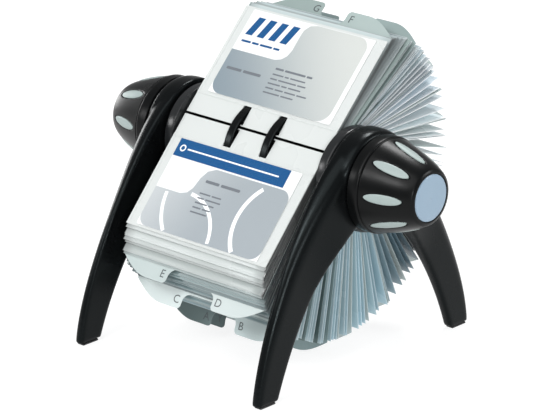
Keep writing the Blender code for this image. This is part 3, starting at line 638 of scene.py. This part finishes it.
def leaf(bm, layer, share, lean_share, thickness, bow, ripple, phase, skew, length_off):
    """A pocket of the wheel: a thin bowed sheet with rounded edges and an open slot for each rail."""
    foot, lean = fan_state(share)[0], fan_state(lean_share)[1]
    along = Vector((0.0, math.cos(math.radians(lean)), math.sin(math.radians(lean))))
    aside = Vector((0.0, math.cos(math.radians(lean + 90.0)), math.sin(math.radians(lean + 90.0))))
    origin = Vector((0.0, *foot))
    # No two leaves are as clear, and the ends of the leaves at the front of the fan lie in shadow
    shade = 1.14 - (0.60 if share < 0.18 else 0.40) * rng.random()
    shadow = 1.0 - 0.86 * smooth_step((share - 0.80) / 0.10) - 0.72 * smooth_step((0.07 - share) / 0.05)
    # The film's colour here holds painted light and shade, and the paleness of its edges a painted highlight
    film, paleness = film_colour_and_shade_at(share)
    tint = [min(1.0, c * shade) for c in film]
    grid = {}
    for i, x in enumerate(COLUMNS):
        for j, v in enumerate(ROWS):
            reach = v / LEAF_LENGTH
            offset = bow * reach**2 + ripple * reach**2 * math.sin(phase + x * 0.055)
            offset += skew * reach * x / HALF_WIDTH
            end = 1.0 if i in (0, len(COLUMNS) - 1) else 0.4 if i in (1, len(COLUMNS) - 2) else 0.0
            edge = end == 1.0 or j in (0, len(ROWS) - 1)
            height = thickness / 2 * (EDGE_THINNESS if edge else 1.0)
            dim = 1.0 + (shadow - 1.0) * end
            middle = origin + Vector((x * MM, 0, 0)) + along * (v * MM + length_off * reach) + aside * offset
            for face in (-1, 1):
                vert = bm.verts.new(middle + aside * (face * height))
                pale = paleness if edge else paleness * end
                vert[layer] = (*[(c + (EDGE_WHITE - c) * pale) * dim for c in tint], 1.0)
                grid[i, j, face] = vert
    columns, rows = len(COLUMNS) - 1, len(ROWS) - 1

    def solid(i, j):
        inside = 0 <= i < columns and 0 <= j < rows
        return inside and not (i in SLOT_COLUMNS and j < SLOT_ROWS)

    for i in range(columns):
        for j in range(rows):
            if not solid(i, j):
                continue
            corners = ((i, j), (i + 1, j), (i + 1, j + 1), (i, j + 1))
            for face in (-1, 1):
                ring = [grid[a, b, face] for a, b in corners]
                bm.faces.new(ring if face > 0 else list(reversed(ring)))
            for (a, b), beyond in zip(
                zip(corners, (*corners[1:], corners[0])), ((i, j - 1), (i + 1, j), (i, j + 1), (i - 1, j))
            ):
                if not solid(*beyond):
                    bm.faces.new((grid[*a, -1], grid[*b, -1], grid[*b, 1], grid[*a, 1]))


def leaves(name, first, last, node):
    """The pockets between two dividers of the wheel."""
    bm = bmesh.new()
    layer = bm.verts.layers.float_color.new("leaf_colour_and_shade")
    dividers = [*CAD_DIVIDERS.values(), *MORE_DIVIDERS.values()]
    share = first + LEAF_STEP * 0.5
    while share < last - LEAF_STEP * 0.35:
        step, thickness = next((step, mm * MM) for end, step, mm in LEAF_PACES if share <= end)
        near = min(abs(share - d) for d in dividers)
        if near > LEAF_STEP * 0.3 and 0.003 < share < 0.996:
            # The leaves gather in bunches, except next to a divider
            gather = 0.14 if 0.36 < share < 0.64 else 0.32
            short_wave, long_wave = math.sin(math.tau * share / 0.031), math.sin(math.tau * share / 0.0471)
            bunch = step * (0.16 * short_wave + gather * long_wave)
            edge = min(1.0, min(share - first, last - share) / 0.012, share / 0.03, (1 - share) / 0.02)
            lean_share = min(0.997, max(0.003, share + bunch * max(0.0, edge)))
            loose = 1.0 if 0.10 < share < 0.74 else 0.35
            leaf(
                bm, layer, share, lean_share, thickness,
                (0.5 - rng.random()) * 1.6 * MM * loose, rng.random() * 0.7 * MM * loose,
                rng.random() * math.tau, (0.5 - rng.random()) * 1.4 * MM * loose,
                (0.5 - rng.random()) * (3.0 if share > 0.9 else 1.8) * MM,
            )
        share += step * (0.85 + 0.3 * rng.random())
    made = finish_mesh(name, bm, [LEAF], 40.0)
    settle(made, "wheel", "clear_film", node)


def keyhole(middle, start):
    """Slot in a foot edge, from right to left: a narrow mouth between two lips, then a tapered slot."""
    right = [(1.7, start), (1.7, start + 0.7), (3.3, start + 0.7), (2.85, start + 12.1), (2.3, start + 12.5)]
    return [(middle + x, y) for x, y in right + [(-x, y) for x, y in reversed(right)]]


def foot_edge(start):
    """Foot of a leaf, from right to left, with a keyhole for each rail."""
    return [
        (HALF_WIDTH, start), *keyhole(RAIL_OFFSET, start), *keyhole(-RAIL_OFFSET, start), (-HALF_WIDTH, start)
    ]


def tab_edge(hand):
    """Outer edge of a divider: straight on one half, and swelling into a tab on the other half."""
    tip, height, swell, crown, hollow = 16.0, 9.5, 22.0, 2.5, 5.0
    tab = [(HALF_WIDTH, LEAF_LENGTH)]
    for i in range(1, 19):
        t = i / 18
        tab.append((HALF_WIDTH - swell * t, LEAF_LENGTH + height * math.sin(t * math.pi / 2)))
    for i in range(7):
        angle = math.radians(90.0 + 15.0 * i)
        y = LEAF_LENGTH + height - crown + crown * math.sin(angle)
        tab.append((tip + crown + crown * math.cos(angle), y))
    for i in range(9):
        angle = math.radians(-90.0 * i / 8)
        tab.append((tip - hollow + hollow * math.cos(angle), LEAF_LENGTH + hollow + hollow * math.sin(angle)))
    tab.append((-HALF_WIDTH, LEAF_LENGTH))
    points = [(hand * x, y) for x, y in tab]
    return points if hand < 0 else list(reversed(points))


def extruded(bm, outline, low, high, place):
    """Closed flat solid from an outline in millimetres, between two heights of its own +Z."""
    lower = [bm.verts.new(place @ Vector((x * MM, y * MM, low))) for x, y in outline]
    upper = [bm.verts.new(place @ Vector((x * MM, y * MM, high))) for x, y in outline]
    bm.faces.new(lower)
    bm.faces.new(upper)
    join_loops(bm, lower, upper)
    return lower + upper


def letter_mesh(letter):
    """A plain capital, 5 mm high, as a flat mesh centred on its own origin."""
    curve = bpy.data.curves.new("letter", "FONT")
    curve.body = letter
    curve.size = 6.6 * MM
    curve.align_x = "CENTER"
    curve.align_y = "CENTER"
    curve.resolution_u = 4
    curve.extrude = LETTER_HALF_THICKNESS
    drawn = bpy.data.objects.new("letter", curve)
    bpy.context.scene.collection.objects.link(drawn)
    bpy.context.view_layer.update()
    mesh = bpy.data.meshes.new_from_object(drawn.evaluated_get(bpy.context.evaluated_depsgraph_get()))
    bpy.data.objects.remove(drawn)
    return mesh


def divider(letter, share, node=None):
    """Index divider: slotted foot, a tab on one half and its letter on both faces."""
    hand = -1 if (ord(letter) - ord("A")) % 2 == 0 else 1
    foot, lean = fan_state(share)
    aside = Matrix.Translation((DIVIDER_SHIFT.get(letter, 0.0) * MM, *foot))
    place = aside @ Matrix.Rotation(math.radians(lean), 4, "X")
    half = DIVIDER_HALF_THICKNESS
    bm = bmesh.new()
    layer = bm.verts.layers.float_color.new("leaf_colour_and_shade")
    # Each divider's vertices take its painted shade and light
    for vert in extruded(bm, [*foot_edge(0.0), *tab_edge(hand)], -half, half, place):
        vert[layer] = (*DIVIDER_TINTS_AND_SHADE.get(letter, PLAIN_DIVIDER), 1.0)
    mesh = letter_mesh(letter)
    for face in (1, -1):
        turn = Matrix.Identity(4) if face > 0 else Matrix.Rotation(math.pi, 4, "X")
        height = face * (half + LETTER_HALF_THICKNESS)
        spot = Matrix.Translation((hand * LETTER_SPOT[0] * MM, LETTER_SPOT[1] * MM, height))
        part = mesh.copy()
        part.transform(place @ spot @ turn)
        before = len(bm.faces)
        bm.from_mesh(part)
        bm.faces.ensure_lookup_table()
        for index in range(before, len(bm.faces)):
            bm.faces[index].material_index = 1
    made = finish_mesh(f"index_tab_{letter}", bm, [DIVIDER, LETTER], 30.0)
    settle(made, "wheel", "divider_plastic", *([node] if node else []))


def wheel_leaves():
    for letter, share in CAD_DIVIDERS.items():
        divider(letter, share, f"index_divider_{letter}")
    for letter, share in MORE_DIVIDERS.items():
        divider(letter, share)
    names = ["behind_upper_page", *CAD_DIVIDERS]
    shares = [0.0, *CAD_DIVIDERS.values(), 1.0]
    for name, first, last in zip(names, shares, shares[1:]):
        leaves(f"pockets_{name}", first, last, f"pocket_pack_{name}")


# ---------------------------------------------------------------- open pages and printed cards

HINGE_RADIUS = 24.4 * MM
HINGE_ANGLE = 137.0
# Name of each open page, its tilt in degrees, and which of its sides is printed
PAGES = (("upper", 45.8, 1), ("lower", 228.0, -1))
# Left, bottom, right and top of a card in its page's own mm
CARD = (-45.0, 15.5, 45.0, 70.5)
CORNER_POINTS = 9
ARC_STEPS = 40


def page_place(tilt, face):
    """From a page's own millimetres, foot edge on the hinge line, to the wheel's place in the stand."""
    hinge = on_axle(0.0, HINGE_RADIUS, HINGE_ANGLE)
    drop = Matrix.Translation((0.0, 0.0, -face * 0.5 * MM))
    return Matrix.Translation(hinge) @ Matrix.Rotation(math.radians(tilt), 4, "X") @ drop


def rounded(left, bottom, right, top, radius, steps=CORNER_POINTS - 1):
    """Rounded rectangle, anticlockwise from its lower left corner."""
    points = []
    for cx, cy, start in (
        (left + radius, bottom + radius, 180), (right - radius, bottom + radius, 270),
        (right - radius, top - radius, 0), (left + radius, top - radius, 90),
    ):
        for k in range(steps + 1):
            angle = math.radians(start + 90 * k / steps)
            points.append((cx + radius * math.cos(angle), cy + radius * math.sin(angle)))
    return points


def flat_piece(name, outlines, low, high, place, material, body, slot, *nodes):
    """Flat solids in the page's own millimetres, as one piece whose own axes are the page's."""
    bm = bmesh.new()
    for outline in outlines:
        extruded(bm, outline, low, high, Matrix.Identity(4))
    made = finish_mesh(name, bm, [material], 30.0)
    made.matrix_world = place
    return settle(made, body, slot, *nodes)


def text_lines(left, top, pitch, height, widths, gap=1.0):
    """Lines of short bars that stand for words of small print."""
    bars = []
    for row, words in enumerate(widths):
        x, y = left, top - pitch * row
        for word in words:
            bars.append(rounded(x, y - height, x + word, y, height * 0.3, 2))
            x += word + gap
    return bars


def arc_band(cx, cy, radius, width, start, end):
    """Band along an arc, from one angle to another in degrees."""
    angles = [math.radians(start + (end - start) * k / ARC_STEPS) for k in range(ARC_STEPS + 1)]
    outside, inside = (
        [(cx + r * math.cos(a), cy + r * math.sin(a)) for a in angles]
        for r in (radius + width / 2, radius - width / 2)
    )
    return outside + inside[::-1]


def level(face, low, high):
    """Heights over the middle of a page, counted towards its printed side."""
    return (low * MM, high * MM) if face > 0 else (-high * MM, -low * MM)


def upper_print(place):
    """Silver panel, four slanted bars with a strapline, and small print."""
    ink, over_ink = level(1, 0.13, 0.17), level(1, 0.17, 0.2)
    panel = [
        *rounded(-45.0, 15.5, 42.0, 70.3, 8.0)[:3 * CORNER_POINTS], (3.0, 70.3), (-2.0, 69.0), (-4.6, 65.5),
        (-5.0, 62.0), (-5.0, 52.0), (-6.2, 48.0), (-9.0, 45.2), (-13.0, 44.0), (-45.0, 44.0),
    ]
    flat_piece("upper_card_panel", [panel], *ink, place, SILVER_UPPER, "upper_card", "card")
    bar = ((-42.0, 54.5), (-37.0, 54.5), (-33.4, 66.5), (-38.4, 66.5))
    emblem = [[(x + 8.6 * k, y) for x, y in bar] for k in range(4)]
    flat_piece("upper_card_emblem", emblem, *ink, place, INK_BLUE, "upper_card", "card")
    lines = text_lines(-42.0, 51.0, 3.0, 1.3, [(7.0, 5.0, 9.0, 4.5)])
    flat_piece("upper_card_strapline", lines, *ink, place, INK_BLUE, "upper_card", "card")
    words = text_lines(-41.5, 33.2, 3.0, 1.7, [(11.0, 13.0)], 1.4)
    words += text_lines(-9.0, 39.8, 3.0, 1.3, [(6.0, 15.0, 4.0)])
    words += text_lines(-9.0, 36.0, 2.9, 0.9, [
        (8.0, 3.0, 11.0), (5.0, 13.0, 6.0), (9.0, 4.0, 9.0), (6.0, 6.0, 8.0, 7.0), (12.0, 9.0),
    ])
    flat_piece("upper_card_print", words, *over_ink, place, INK_GREY, "upper_card", "card")


def lower_print(place):
    """Silver panel with three white arcs, a blue band with a ring and a line, and small print."""
    ink, over_ink, over_arcs = level(-1, 0.13, 0.17), level(-1, 0.17, 0.2), level(-1, 0.2, 0.22)
    panel = [
        (-45.0, 46.5), (-27.0, 46.5), (-22.5, 45.0), (-20.0, 41.5), (-18.6, 35.0), (-16.0, 30.0),
        (-11.0, 27.5), *rounded(-45.0, 27.5, 45.0, 70.5, 7.0)[CORNER_POINTS:],
    ]
    flat_piece("lower_card_panel", [panel], *ink, place, SILVER_LOWER, "lower_card", "card")
    band = rounded(-45.0, 15.6, 37.0, 26.5, 0.3, 2)
    flat_piece("lower_card_band", [band], *ink, place, INK_BLUE, "lower_card", "card")
    marks = [rounded(-37.0, 20.6, 31.0, 21.5, 0.4, 3), arc_band(-40.5, 21.05, 1.7, 0.8, 0.0, 359.0)]
    flat_piece("lower_card_band_marks", marks, *over_ink, place, INK_WHITE, "lower_card", "card")
    arcs = [
        arc_band(0.0, 44.0, 36.0, 2.2, 134.0, 174.0), arc_band(-21.0, 74.0, 29.0, 2.2, -86.0, -9.0),
        arc_band(47.0, 50.0, 29.0, 2.6, 137.0, 222.0),
    ]
    flat_piece("lower_card_arcs", arcs, *over_ink, place, INK_WHITE, "lower_card", "card")
    words = text_lines(-14.0, 36.5, 3.0, 1.7, [(10.0, 14.0)], 1.4)
    words += text_lines(-14.0, 43.5, -2.9, 0.9, [(8.0, 7.0), (5.0, 11.0), (9.0, 4.0), (6.0, 6.0), (12.0,)])
    flat_piece("lower_card_print", words, *over_arcs, place, INK_GREY, "lower_card", "card")


def main_pages():
    side, end, clipped = HALF_WIDTH, LEAF_LENGTH, 1.4
    for word, tilt, face in PAGES:
        place = page_place(tilt, face)
        body = f"{word}_page"
        outline = [
            *foot_edge(0.85), (-side, end - clipped), (-side + clipped, end), (side - clipped, end),
            (side, end - clipped),
        ]
        flat_piece(
            f"{word}_pocket_back", [outline], *level(face, -0.55, -0.3), place, FILM, body, "clear_film",
            f"{word}_page_pocket",
        )
        welds = [
            rounded(-52.0, 13.2, 52.0, 15.0, 0.3, 2), rounded(-52.0, 14.8, -50.2, 71.9, 0.3, 2),
            rounded(50.2, 14.8, 52.0, 71.9, 0.3, 2),
        ]
        flat_piece(
            f"{word}_pocket_welds", welds, *level(face, -0.3, -0.12), place, FILM, body, "clear_film"
        )
        front = rounded(-51.6, 13.6, 51.6, 71.9, 0.4, 2)
        flat_piece(
            f"{word}_pocket_front", [front], *level(face, 0.42, 0.5), place, CLEAR, body, "clear_film"
        )
        flat_piece(
            f"{word}_card_blank", [rounded(*CARD, 0.8, 4)], *level(face, -0.15, 0.13), place, CARD_WHITE,
            f"{word}_card", "card", f"{word}_business_card",
        )
        if word == "upper":
            upper_print(place)
        else:
            lower_print(place)


# ---------------------------------------------------------------- stage, lights and camera


def stage():
    bm = bmesh.new()
    size = 4.0
    for x, y in ((-size, -size), (size, -size), (size, size), (-size, size)):
        bm.verts.new((x, y, 0.0))
    bm.faces.new(bm.verts)
    material = plastic(
        "floor_paint", (0.20, 0.20, 0.20), (0.22, 0.22, 0.22), (0.7, 0.8), blotch=2.0, grain=60.0,
        Emission_Color=(1.0, 1.0, 1.0, 1.0), Emission_Strength=0.84,
    )
    finish_mesh("floor", bm, [material])


# Name, position, diameter and power of the round lamps, which all point at LAMP_TARGET
LAMPS = (
    ("key", (0.14, -1.49, 1.18), 0.4, 9.0),
    ("left_front", (-1.05, -1.15, 0.6), 0.35, 4.0),
    ("fan_fill", (1.2, 0.9, 0.8), 0.6, 9.0),
    ("right_front", (1.35, -1.05, 0.5), 0.3, 9.0),
    ("left_rim", (-1.5, 0.25, 0.15), 0.6, 6.0),
    ("top_rim", (-0.35, 0.75, 1.4), 0.4, 12.0),
)
LAMP_TARGET = Vector((0.0, 0.0, 0.09))
WORLD_STRENGTH = 0.36
SUN_STRENGTH = 1.25
SUN_SPREAD = 50.0
SUN_DIRECTION = Vector((-0.15, 0.8, -1.15))


def round_lamp(name, position, size, power):
    data = bpy.data.lights.new(name, "AREA")
    data.shape = "DISK"
    data.size = size
    data.energy = power
    lamp = bpy.data.objects.new(name, data)
    bpy.context.scene.collection.objects.link(lamp)
    lamp.location = position
    lamp.rotation_euler = (LAMP_TARGET - Vector(position)).to_track_quat("-Z", "Y").to_euler()


def lights():
    bpy.context.scene.view_settings.view_transform = "Standard"
    world = bpy.data.worlds.new("studio")
    bpy.context.scene.world = world
    world.use_nodes = True
    background = world.node_tree.nodes["Background"]
    background.inputs["Color"].default_value = (0.97, 0.985, 1.0, 1.0)
    background.inputs["Strength"].default_value = WORLD_STRENGTH
    sun = bpy.data.lights.new("sky_panel", "SUN")
    sun.energy = SUN_STRENGTH
    sun.angle = math.radians(SUN_SPREAD)
    lamp = bpy.data.objects.new("sky_panel", sun)
    bpy.context.scene.collection.objects.link(lamp)
    lamp.rotation_euler = SUN_DIRECTION.to_track_quat("-Z", "Y").to_euler()
    for lamp_row in LAMPS:
        round_lamp(*lamp_row)


# Azimuth, elevation and roll of the camera in degrees
CAMERA_ANGLES = (41.7, 19.53, 0.61)
CAMERA_DISTANCE = 1.8439
CAMERA_TARGET = Vector((0.0, AXLE_Y + 0.18 * MM, 76.5 * MM))


def camera():
    azimuth, elevation, roll = (math.radians(v) for v in CAMERA_ANGLES)
    back = Vector((
        math.sin(azimuth) * math.cos(elevation), -math.cos(azimuth) * math.cos(elevation), math.sin(elevation)
    ))
    right = Vector((math.cos(azimuth), math.sin(azimuth), 0.0))
    up = back.cross(right)
    turned_right = math.cos(roll) * right + math.sin(roll) * up
    turned_up = -math.sin(roll) * right + math.cos(roll) * up
    data = bpy.data.cameras.new("camera")
    data.lens = 216.0
    data.sensor_width = 36.0
    made = bpy.data.objects.new("camera", data)
    bpy.context.scene.collection.objects.link(made)
    rotation = Matrix((turned_right, turned_up, back)).transposed().to_4x4()
    made.matrix_world = Matrix.Translation(CAMERA_TARGET + back * CAMERA_DISTANCE) @ rotation
    bpy.context.scene.camera = made


# ---------------------------------------------------------------- assembly

# CAD pieces that are shown as they are, by the end of their name, and their finish
CARRIED_OVER = (
    ("_foot_pad", RUBBER), ("_bearing_bush", ACETAL), ("_knob_washer", STEEL), ("_knob_screw", STEEL),
    ("axle", STEEL),
)

for side_word, side_sign in SIDES:
    side_frame(side_word, side_sign)
    knob(side_word, side_sign)
    grip_pads(side_word, side_sign)
    end_cap(side_word, side_sign)
wheel_core()
wheel_leaves()
main_pages()
for node_name, node in NODES.items():
    for ending, node_material in CARRIED_OVER:
        if node_name.endswith(ending):
            node.data.materials.clear()
            node.data.materials.append(node_material)
stage()
lights()
camera()
